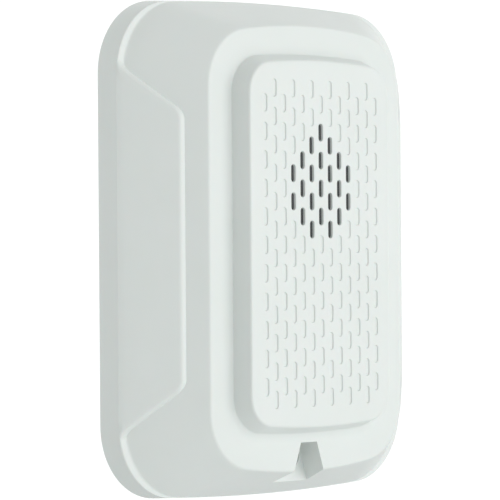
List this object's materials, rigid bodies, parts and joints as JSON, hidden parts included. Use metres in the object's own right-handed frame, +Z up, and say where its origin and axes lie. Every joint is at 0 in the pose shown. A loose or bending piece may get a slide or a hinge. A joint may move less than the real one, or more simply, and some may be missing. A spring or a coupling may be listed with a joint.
{
  "type": "wall alarm siren",
  "caption": "Rounded rectangular wall siren: domed white housing with side ledges, raised slotted front panel, screwdriver notch and a hook-on mounting plate behind.",
  "frame": {"origin": "centre of the back face, on the wall plane", "axes": "+X right as seen from the room, +Y into the wall, +Z up"},
  "size_m": [0.119, 0.0297, 0.143],
  "materials": {
    "housing_white": "fine satin moulding",
    "plate_white": "satin moulding",
    "screen_black": "woven mesh",
    "gasket_foam": "closed-cell foam",
    "chamber_grey": "satin moulding",
    "brass": "rolled",
    "ceramic": "silvered ceramic",
    "board_green": "solder mask",
    "chip_black": "moulded epoxy",
    "ferrite": "pressed ferrite",
    "copper": "enamelled wire",
    "can_sleeve": "shrunk sleeve",
    "plated_steel": "zinc plated",
    "spring_bronze": "rolled strip",
    "terminal_black": "satin moulding",
    "lead_red": "extruded",
    "lead_black": "extruded",
    "dial_amber": "moulded"
  },
  "bodies": {
    "back_plate": {"mounting_plate": "plate_white", "screw_insert": "brass", "terminal_block": "terminal_black", "terminal_contacts": "brass", "shorting_spring": "spring_bronze"},
    "head": {"front_housing": "housing_white", "dust_screen": "screen_black", "screen_gasket": "gasket_foam", "resonator_front": "chamber_grey", "resonator_rear": "chamber_grey", "piezo_disc": "brass", "piezo_element": "ceramic", "disc_lead": "lead_black", "element_lead": "lead_red", "circuit_board": "board_green", "driver_chip": "chip_black", "surface_parts": "chip_black", "coil_core": "ferrite", "coil_winding": "copper", "filter_capacitors": "can_sleeve", "tone_switch": "terminal_black", "contact_blades": "brass", "rear_cover": "plate_white", "cover_screws": "plated_steel"},
    "tone_dial": {"tone_dial": "dial_amber"},
    "screw_carrier": {"screw_retainer": "terminal_black"},
    "captive_screw": {"captive_screw": "plated_steel"},
    "wire_clamp_1": {"terminal_clamp_1": "plated_steel"},
    "binding_screw_1": {"terminal_screw_1": "plated_steel"},
    "wire_clamp_2": {"terminal_clamp_2": "plated_steel"},
    "binding_screw_2": {"terminal_screw_2": "plated_steel"},
    "wire_clamp_3": {"terminal_clamp_3": "plated_steel"},
    "binding_screw_3": {"terminal_screw_3": "plated_steel"},
    "wire_clamp_4": {"terminal_clamp_4": "plated_steel"},
    "binding_screw_4": {"terminal_screw_4": "plated_steel"}
  },
  "joints": [
    {"name": "head_hinge", "type": "hinge", "parent": "back_plate", "child": "head", "pos_m": [0, 0, 0.0715], "axis": [-1, 0, 0], "range_deg": [0, 12]},
    {"name": "captive_screw_travel", "type": "slide", "parent": "head", "child": "screw_carrier", "axis": [0, -1, 0], "range_m": [0, 0.0045]},
    {"name": "captive_screw_turn", "type": "hinge", "parent": "screw_carrier", "child": "captive_screw", "pos_m": [0, -0.0137, -0.0596], "axis": [0, -1, 0], "range_deg": [0, 2041]},
    {"name": "tone_dial_turn", "type": "hinge", "parent": "head", "child": "tone_dial", "pos_m": [0.028, -0.009, 0.022], "axis": [0, -1, 0], "range_deg": [0, 315]},
    {"name": "wire_clamp_1_travel", "type": "slide", "parent": "back_plate", "child": "wire_clamp_1", "axis": [0, -1, 0], "range_m": [0, 0.002]},
    {"name": "binding_screw_1_turn", "type": "hinge", "parent": "wire_clamp_1", "child": "binding_screw_1", "pos_m": [-0.024, -0.0048, -0.017], "axis": [0, -1, 0], "range_deg": [0, 1029]},
    {"name": "wire_clamp_2_travel", "type": "slide", "parent": "back_plate", "child": "wire_clamp_2", "axis": [0, -1, 0], "range_m": [0, 0.002]},
    {"name": "binding_screw_2_turn", "type": "hinge", "parent": "wire_clamp_2", "child": "binding_screw_2", "pos_m": [-0.008, -0.0048, -0.017], "axis": [0, -1, 0], "range_deg": [0, 1029]},
    {"name": "wire_clamp_3_travel", "type": "slide", "parent": "back_plate", "child": "wire_clamp_3", "axis": [0, -1, 0], "range_m": [0, 0.002]},
    {"name": "binding_screw_3_turn", "type": "hinge", "parent": "wire_clamp_3", "child": "binding_screw_3", "pos_m": [0.008, -0.0048, -0.017], "axis": [0, -1, 0], "range_deg": [0, 1029]},
    {"name": "wire_clamp_4_travel", "type": "slide", "parent": "back_plate", "child": "wire_clamp_4", "axis": [0, -1, 0], "range_m": [0, 0.002]},
    {"name": "binding_screw_4_turn", "type": "hinge", "parent": "wire_clamp_4", "child": "binding_screw_4", "pos_m": [0.024, -0.0048, -0.017], "axis": [0, -1, 0], "range_deg": [0, 1029]}
  ],
  "couplings": [
    {"joint": "captive_screw_turn", "follows": "captive_screw_travel", "rad_per_m": 7913.3},
    {"joint": "binding_screw_1_turn", "follows": "wire_clamp_1_travel", "rad_per_m": 8976},
    {"joint": "binding_screw_2_turn", "follows": "wire_clamp_2_travel", "rad_per_m": 8976},
    {"joint": "binding_screw_3_turn", "follows": "wire_clamp_3_travel", "rad_per_m": 8976},
    {"joint": "binding_screw_4_turn", "follows": "wire_clamp_4_travel", "rad_per_m": 8976}
  ]
}
